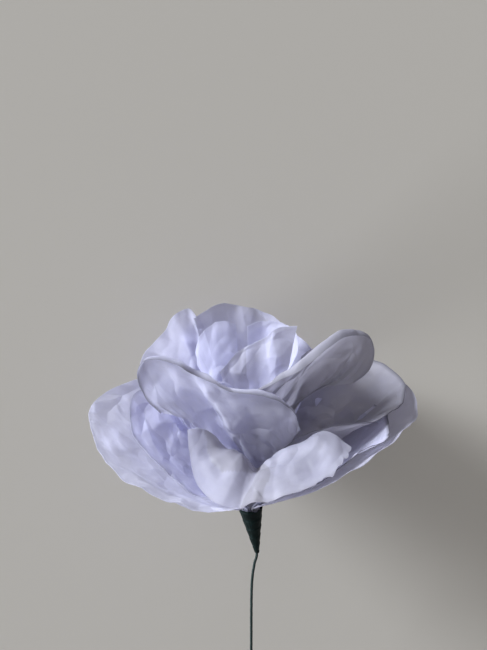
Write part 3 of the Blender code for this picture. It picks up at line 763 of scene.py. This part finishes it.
# Two colours, or sockets with colours, mixed by a grey value
def blendColours(tree, factor, first, second):
    node = tree.nodes.new("ShaderNodeMix")
    node.data_type = "RGBA"
    tree.links.new(factor, node.inputs[0])
    for index, colour in ((6, first), (7, second)):
        if isinstance(colour, tuple):
            node.inputs[index].default_value = (*colour, 1.0)
        else:
            tree.links.new(colour, node.inputs[index])
    return node.outputs[2]


# The grain of any crepe paper, on a map in millimetres
grain = dict(
    crimpStretch=0.09,      # the crimps run along the map's second axis, longer as this is smaller
    facetStray=9.0,         # how far the facets' edges stray from straight lines
    strayScale=0.12,
    patchScale=0.07,        # size of the places where the facets show or fade
    patchRange=(0.4, 0.6),
    faintest=0.15,          # how much of the facets is left where they fade
    cloudRange=(0.32, 0.68),
    crimpRange=(0.3, 0.7),
)


# Shader group of cloudy pulp, fine crimps and flat facets, each as a grey value
def paperGrainGroup():
    tree = bpy.data.node_groups.new("paperGrain", "ShaderNodeTree")
    for name, kind in (("Vector", "NodeSocketVector"), ("Cloud Scale", "NodeSocketFloat"),
                       ("Crimp Scale", "NodeSocketFloat"), ("Facet Scale", "NodeSocketFloat")):
        tree.interface.new_socket(name, in_out="INPUT", socket_type=kind)
    for name in ("Cloud", "Crimp", "Facet"):
        tree.interface.new_socket(name, in_out="OUTPUT", socket_type="NodeSocketFloat")
    start, end = tree.nodes.new("NodeGroupInput"), tree.nodes.new("NodeGroupOutput")
    cloud = addNode(tree, "ShaderNodeTexNoise", Detail=5.0, Roughness=0.6)
    tree.links.new(start.outputs["Vector"], cloud.inputs["Vector"])
    tree.links.new(start.outputs["Cloud Scale"], cloud.inputs["Scale"])
    stretched = addNode(tree, "ShaderNodeMapping", Scale=(1.0, grain["crimpStretch"], 1.0))
    tree.links.new(start.outputs["Vector"], stretched.inputs["Vector"])
    crimp = addNode(tree, "ShaderNodeTexNoise", Detail=3.0, Roughness=0.55, Distortion=0.4)
    tree.links.new(stretched.outputs["Vector"], crimp.inputs["Vector"])
    tree.links.new(start.outputs["Crimp Scale"], crimp.inputs["Scale"])
    stray = addNode(tree, "ShaderNodeTexNoise", Scale=grain["strayScale"], Detail=1.0)
    tree.links.new(start.outputs["Vector"], stray.inputs["Vector"])
    strayed = tree.nodes.new("ShaderNodeVectorMath")
    strayed.operation = "MULTIPLY_ADD"
    strayed.inputs[1].default_value = (grain["facetStray"], grain["facetStray"], 0.0)
    tree.links.new(stray.outputs["Color"], strayed.inputs[0])
    tree.links.new(start.outputs["Vector"], strayed.inputs[2])
    facet = addNode(tree, "ShaderNodeTexVoronoi", Randomness=1.0)
    facet.feature, facet.voronoi_dimensions = "DISTANCE_TO_EDGE", "2D"
    tree.links.new(strayed.outputs["Vector"], facet.inputs["Vector"])
    tree.links.new(start.outputs["Facet Scale"], facet.inputs["Scale"])
    patch = addNode(tree, "ShaderNodeTexNoise", Scale=grain["patchScale"], Detail=0.0)
    tree.links.new(start.outputs["Vector"], patch.inputs["Vector"])
    fading = tree.nodes.new("ShaderNodeMath")
    fading.operation = "MULTIPLY"
    tree.links.new(facet.outputs["Distance"], fading.inputs[0])
    shown = spread(tree, patch.outputs["Fac"], *grain["patchRange"], grain["faintest"], 1.0)
    tree.links.new(shown, fading.inputs[1])
    tree.links.new(fading.outputs["Value"], end.inputs["Facet"])
    tree.links.new(spread(tree, cloud.outputs["Fac"], *grain["cloudRange"]), end.inputs["Cloud"])
    tree.links.new(spread(tree, crimp.outputs["Fac"], *grain["crimpRange"]), end.inputs["Crimp"])
    return tree


# The paper's grain placed in a material, read from the piece's own map
def addGrain(tree, finish):
    ownMap = tree.nodes.new("ShaderNodeUVMap")
    placedGrain = tree.nodes.new("ShaderNodeGroup")
    placedGrain.node_tree = paperGrain
    for effect in ("cloud", "crimp", "facet"):
        placedGrain.inputs[effect.capitalize() + " Scale"].default_value = finish[effect + "Scale"]
    tree.links.new(ownMap.outputs["UV"], placedGrain.inputs["Vector"])
    return placedGrain.outputs["Cloud"], placedGrain.outputs["Crimp"], placedGrain.outputs["Facet"]


# Bumps from grey values, each this many millimetres high, laid on each other
def addBumps(tree, heights, shaders):
    below = None
    for height, depth in heights:
        bump = addNode(tree, "ShaderNodeBump", Strength=1.0, Distance=depth * mm)
        tree.links.new(height, bump.inputs["Height"])
        if below:
            tree.links.new(below, bump.inputs["Normal"])
        below = bump.outputs["Normal"]
    for shader in shaders:
        tree.links.new(below, shader.inputs["Normal"])


crepeFinish = dict(
    light=(0.86, 0.86, 0.98),
    shade=(0.66, 0.66, 0.80),
    # colour of greyed paper: another ply, and painted shade
    plyAndShade=(0.47, 0.45, 0.48),
    # colour of the painted highlight along the folds
    paintedHighlight=(0.92, 0.92, 0.99),
    # colour of the painted shadow along the rims
    rimShade=(0.20, 0.19, 0.23),
    behind=(0.89, 0.89, 0.98),      # light that has come through the sheet
    # light through greyed paper: another ply, and painted shade
    behindPlyAndShade=(0.46, 0.44, 0.47),
    letsThrough=0.66,
    roughness=0.78,
    shine=0.3,
    cloudScale=0.28,
    crimpScale=1.3,
    crimpDepth=0.015,
    facetScale=0.085,
    facetDepth=2.6,
)


# A grey value painted on the piece's points
def painted(tree, name):
    attribute = tree.nodes.new("ShaderNodeAttribute")
    attribute.attribute_name = name
    return attribute.outputs["Fac"]


# Thin lavender white crepe: cloudy, creased, greyer where it is doubled and where shade is painted, with a
# painted highlight along its folds, a painted shadow along its rims, and light coming through it
def makeCrepe():
    material = bpy.data.materials.new("lavenderCrepe")
    material.use_nodes = True
    tree = material.node_tree
    shader, surface = tree.nodes["Principled BSDF"], tree.nodes["Material Output"]
    cloud, crimp, facet = addGrain(tree, crepeFinish)
    colour = blendColours(tree, cloud, crepeFinish["shade"], crepeFinish["light"])
    # painted shade where the paper is greyed, a painted highlight along folds and a painted shadow along rims
    for name in ("plyAndShade", "paintedHighlight", "rimShade"):
        colour = blendColours(tree, painted(tree, name), colour, crepeFinish[name])
    tree.links.new(colour, shader.inputs["Base Color"])
    shader.inputs["Roughness"].default_value = crepeFinish["roughness"]
    shader.inputs["Specular IOR Level"].default_value = crepeFinish["shine"]
    through = tree.nodes.new("ShaderNodeBsdfTranslucent")
    # light through the paper, darkened by another ply and painted shade, and by the painted shadow along rims
    glow = blendColours(tree, painted(tree, "plyAndShade"), crepeFinish["behind"],
                        crepeFinish["behindPlyAndShade"])
    glow = blendColours(tree, painted(tree, "rimShade"), glow, crepeFinish["rimShade"])
    tree.links.new(glow, through.inputs["Color"])
    mixed = addNode(tree, "ShaderNodeMixShader", Fac=crepeFinish["letsThrough"])
    tree.links.new(shader.outputs["BSDF"], mixed.inputs[1])
    tree.links.new(through.outputs["BSDF"], mixed.inputs[2])
    tree.links.new(mixed.outputs["Shader"], surface.inputs["Surface"])
    addBumps(tree, ((facet, crepeFinish["facetDepth"]), (crimp, crepeFinish["crimpDepth"])),
             (shader, through))
    return material


# Dark green paper, as wound tape or as the wire's covering
def makeGreenPaper(name, finish):
    material = bpy.data.materials.new(name)
    material.use_nodes = True
    tree = material.node_tree
    shader = tree.nodes["Principled BSDF"]
    shader.inputs["Specular IOR Level"].default_value = finish["shine"]
    cloud, crimp, facet = addGrain(tree, finish)
    colour = blendColours(tree, cloud, finish["shade"], finish["light"])
    tree.links.new(colour, shader.inputs["Base Color"])
    uneven = spread(tree, crimp, 0.0, 1.0, *finish["roughness"])
    tree.links.new(uneven, shader.inputs["Roughness"])
    addBumps(tree, ((facet, finish["facetDepth"]), (crimp, finish["crimpDepth"])), (shader,))
    return material


paperGrain = paperGrainGroup()
lavenderCrepe = makeCrepe()

stem = dict(
    length=120.0,
    top=14.0,           # how far the wire runs up inside the rolled centre
    # shares of the tip's lean and drops below it
    path=[(0.62, 4.5), (0.33, 10.0), (0.24, 18.0), (0.24, 40.0)],
    sides=24,
    rows=520,
    pitch=3.4,          # from one turn of the covering to the next
    step=0.05,          # how far each turn stands out over the one before
    unevenness=0.02,
    unevenScale=0.7,    # how quickly that changes along the wire
    finish=dict(light=(0.010, 0.028, 0.026), shade=(0.004, 0.012, 0.011),
                roughness=(0.5, 0.7), shine=0.3, cloudScale=0.5,
                crimpScale=2.2, crimpDepth=0.03, facetScale=0.5, facetDepth=0.02),
)
lying = lyingMatrix()


print("Shaping the petals")
noise.seed_set(tearing["seed"])
placed = {}
for seed, (name, spec) in enumerate({"rolled_centre": {}, **petals}.items()):
    ribs = petalRibs(spec) if spec else rollRibs()
    for fold in spec.get("creases", ()):
        crease(ribs, *fold)
    if spec:
        easeOutwards(ribs, [inside for inner, inside in placed.items() if inner not in spec.get("under", ())])
    placed[name] = placedSheet(ribs, spec.get("freeEdge", False))
    closer = finePaper["closer"] if name in folds else 1.0
    columns = round(finePaper["columns"] * closer * (1 if spec else finePaper["rolledColumns"]))
    rows = round(finePaper["rows"] * closer)
    sheet = fineSheet(ribs, columns, rows)
    highlight = [[0.0] * (rows + 1) for rib in sheet]
    if name in higher:
        raiseBend(sheet, higher[name])
    workPaper(sheet, seed, 1.0 if spec else finePaper["rolledCrumple"], torn.get(name))
    for fold in folds.get(name, ()):
        foldPaper(sheet, highlight, *fold)
    piece = addGrid(name.replace("petal_", "") + "_paper", sheet, lavenderCrepe)
    # painted shadow along the rim, fading one row in
    rimShadeTone = rimShade.get(name, finePaper["rimShadeTone"])
    rimShading = [[0.0] * (rows - 1) + [rimShadeTone * finePaper["rimFade"], rimShadeTone] for rib in sheet]
    # painted highlight along the folds
    paintPoints(piece, "paintedHighlight", highlight)
    # painted shade, partly another ply showing through
    paintPoints(piece, "plyAndShade", plyAndShadeOf(name, columns, rows))
    paintPoints(piece, "rimShade", rimShading)
    finishSheet(piece, finePaper["thickness"], 0.0)
    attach(piece, "root")
    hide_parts(name)


# A tube of level rings, closed along its seam, from a centre and a radius at each place
def addTube(name, columns, rows, place, material, capped):
    sheet = [[place(i / columns, j / rows) for j in range(rows + 1)] for i in range(columns + 1)]
    tube = addGrid(name, sheet, material)
    bpy.context.view_layer.objects.active = tube
    bpy.ops.object.mode_set(mode="EDIT")
    bpy.ops.mesh.select_all(action="SELECT")
    bpy.ops.mesh.remove_doubles(threshold=0.001 * mm)
    if capped:
        bpy.ops.mesh.fill_holes(sides=columns)
        bpy.ops.mesh.select_all(action="SELECT")
        bpy.ops.mesh.normals_make_consistent(inside=False)
    bpy.ops.object.mode_set(mode="OBJECT")
    return tube


# How far a wound strip stands out here: it rises over each turn and drops at its edge
def woundStep(height, turn, strip):
    share = (height / strip["pitch"] + turn) % 1.0
    return strip["step"] * (share - 0.5) * min(1.0, (1 - share) / finePaper["stripEdge"])


# A place on the wire's covering, from its share round the wire and along it
def wirePlace(u, v):
    height = v * (len(wireLine) - 1)
    low = min(int(height), len(wireLine) - 2)
    centre = wireLine[low].lerp(wireLine[low + 1], height - low)
    around = Vector((cos(tau * u), sin(tau * u), 0.0))
    uneven = noise.noise(around + Vector((0.0, 0.0, centre.z * stem["unevenScale"]))) * stem["unevenness"]
    radius = wire["radius"] + woundStep(centre.z, u, stem) + uneven
    return centre + around * radius


print("Covering the wire")
tip = centreLine(-calyx["length"])
wireLine = [Vector((0.0, 0.0, stem["top"])), Vector((0.0, 0.0, stem["top"] / 2)), Vector(), tip / 2, tip]
wireLine += [Vector((tip.x * share, 0.0, tip.z - drop)) for share, drop in stem["path"]]
wireLine.append(Vector((wireLine[-1].x, 0.0, -stem["length"])))
wireLine = evenlySpaced(smoothCurve(wireLine, ribbing["curveSteps"])[::-1], stem["rows"] + 1)
coveredWire = addTube("covered_wire", stem["sides"], stem["rows"], wirePlace,
                      makeGreenPaper("wirePaper", stem["finish"]), True)
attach(coveredWire, "root")
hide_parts("stem_wire")

tape = dict(
    columns=120,
    rows=120,
    pitch=3.1,
    step=0.16,
    crumple=0.10,
    crumpleAround=2.2,
    crumpleAlong=0.35,
    topWave=0.5,        # how unevenly the last turn ends
    topWaves=1.3,
    topLevel=0.3,
    topReach=6,         # the higher, the nearer to the end the unevenness stays
    wall=0.12,
    finish=dict(light=(0.004, 0.014, 0.013), shade=(0.002, 0.005, 0.005),
                roughness=(0.45, 0.65), shine=0.1, cloudScale=0.3,
                crimpScale=2.0, crimpDepth=0.05, facetScale=0.35, facetDepth=0.2),
)


# A place on the tape, from its share round the calyx and up it
def tapePlace(u, v):
    mouth, bottom = calyxBore()
    around = Vector((cos(tau * u), sin(tau * u), 0.0))
    height = -calyx["length"] + v * (calyx["length"] - calyx["mouthDrop"])
    wave = noise.noise(around * tape["topWaves"] + Vector((0.0, 0.0, 7.0))) - tape["topLevel"]
    height += tape["topWave"] * v ** tape["topReach"] * wave
    bore = bottom + (mouth - bottom) * (1 + height / calyx["length"])
    spot = around * tape["crumpleAround"] + Vector((0.0, 0.0, height * tape["crumpleAlong"]))
    radius = bore + calyx["wall"] - tape["step"] / 2 - tape["crumple"] / 2
    radius += woundStep(height, -u, tape) + abs(noise.noise(spot)) * tape["crumple"]
    return centreLine(height) + around * radius


print("Winding the green tape")
woundTape = addTube("wound_tape", tape["columns"], tape["rows"], tapePlace,
                    makeGreenPaper("greenTape", tape["finish"]), False)
finishSheet(woundTape, tape["wall"], -1.0)
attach(woundTape, "root")
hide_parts("calyx_tape")


print("Setting the stage")
stage = dict(
    floorSize=3.0,
    floorColour=(0.50, 0.47, 0.42),
    floorRoughness=0.9,
    daylight=(0.97, 0.97, 1.0),
    daylightStrength=0.38,
    backdrop=0.6,       # how bright the empty background shows
    lampColour=(0.88, 0.93, 1.0),
)
camera = dict(
    elevation=15.0,     # degrees above the flower's level
    distance=210.0,     # from the calyx mouth
    focal=700.0,        # in pixels of the photograph
    frame=(487, 650),
    mouthPixel=(250, 505),
    sensor=24.0,
    nearest=0.005,      # metres
)
# Daylight from the left, as the camera sees it: a window's worth of sky, and less from below it
lamps = {
    "windowLight": dict(direction=(-0.82, -0.06, 0.52), softness=24.0, strength=6.5),
    "lowLight": dict(direction=(-0.87, -0.25, -0.40), softness=20.0, strength=2.0),
}

bpy.ops.object.select_all(action="DESELECT")
bpy.ops.mesh.primitive_plane_add(size=stage["floorSize"])
floor = bpy.context.object
floor.name = "pale_floor"
floorFinish = bpy.data.materials.new("paleFloor")
floorFinish.use_nodes = True
floorShader = floorFinish.node_tree.nodes["Principled BSDF"]
floorShader.inputs["Base Color"].default_value = (*stage["floorColour"], 1.0)
floorShader.inputs["Roughness"].default_value = stage["floorRoughness"]
floor.data.materials.append(floorFinish)

world = bpy.data.worlds.new("daylight")
world.use_nodes = True
skyTree = world.node_tree
light = skyTree.nodes["Background"]
light.inputs["Color"].default_value = (*stage["daylight"], 1.0)
light.inputs["Strength"].default_value = stage["daylightStrength"]
backdrop = addNode(skyTree, "ShaderNodeBackground", Color=(*stage["daylight"], 1.0),
                   Strength=stage["backdrop"])
seen = skyTree.nodes.new("ShaderNodeMixShader")
rays = skyTree.nodes.new("ShaderNodeLightPath")
skyTree.links.new(rays.outputs["Is Camera Ray"], seen.inputs[0])
skyTree.links.new(light.outputs["Background"], seen.inputs[1])
skyTree.links.new(backdrop.outputs["Background"], seen.inputs[2])
skyTree.links.new(seen.outputs["Shader"], skyTree.nodes["World Output"].inputs["Surface"])
bpy.context.scene.world = world

unscaled = lying.to_3x3().normalized()
for name, lamp in lamps.items():
    towards = unscaled @ Vector(lamp["direction"]).normalized()
    bpy.ops.object.light_add(type="SUN", location=towards)
    sun = bpy.context.object
    sun.name = name
    sun.data.energy = lamp["strength"]
    sun.data.angle = radians(lamp["softness"])
    sun.data.color = stage["lampColour"]
    sun.rotation_euler = towards.to_track_quat("Z", "Y").to_euler()

# The camera looks at the flower as the photograph's does
rise = radians(camera["elevation"])
right, back = Vector((1.0, 0.0, 0.0)), Vector((0.0, -cos(rise), sin(rise)))
up = back.cross(right)
aside = (camera["mouthPixel"][0] - camera["frame"][0] / 2) * camera["distance"] / camera["focal"]
below = (camera["mouthPixel"][1] - camera["frame"][1] / 2) * camera["distance"] / camera["focal"]
eye = back * camera["distance"] + up * below - right * aside
turned = Matrix((right, up, back)).transposed()
bpy.ops.object.camera_add()
photoCamera = bpy.context.object
photoCamera.name = "photo_camera"
photoCamera.data.sensor_fit = "VERTICAL"
photoCamera.data.sensor_height = camera["sensor"]
photoCamera.data.lens = camera["focal"] / camera["frame"][1] * camera["sensor"]
photoCamera.data.clip_start = camera["nearest"]
photoCamera.matrix_world = Matrix.Translation(lying @ eye) @ (unscaled @ turned).to_4x4()
bpy.context.scene.camera = photoCamera
bpy.context.scene.view_settings.view_transform = "Standard"
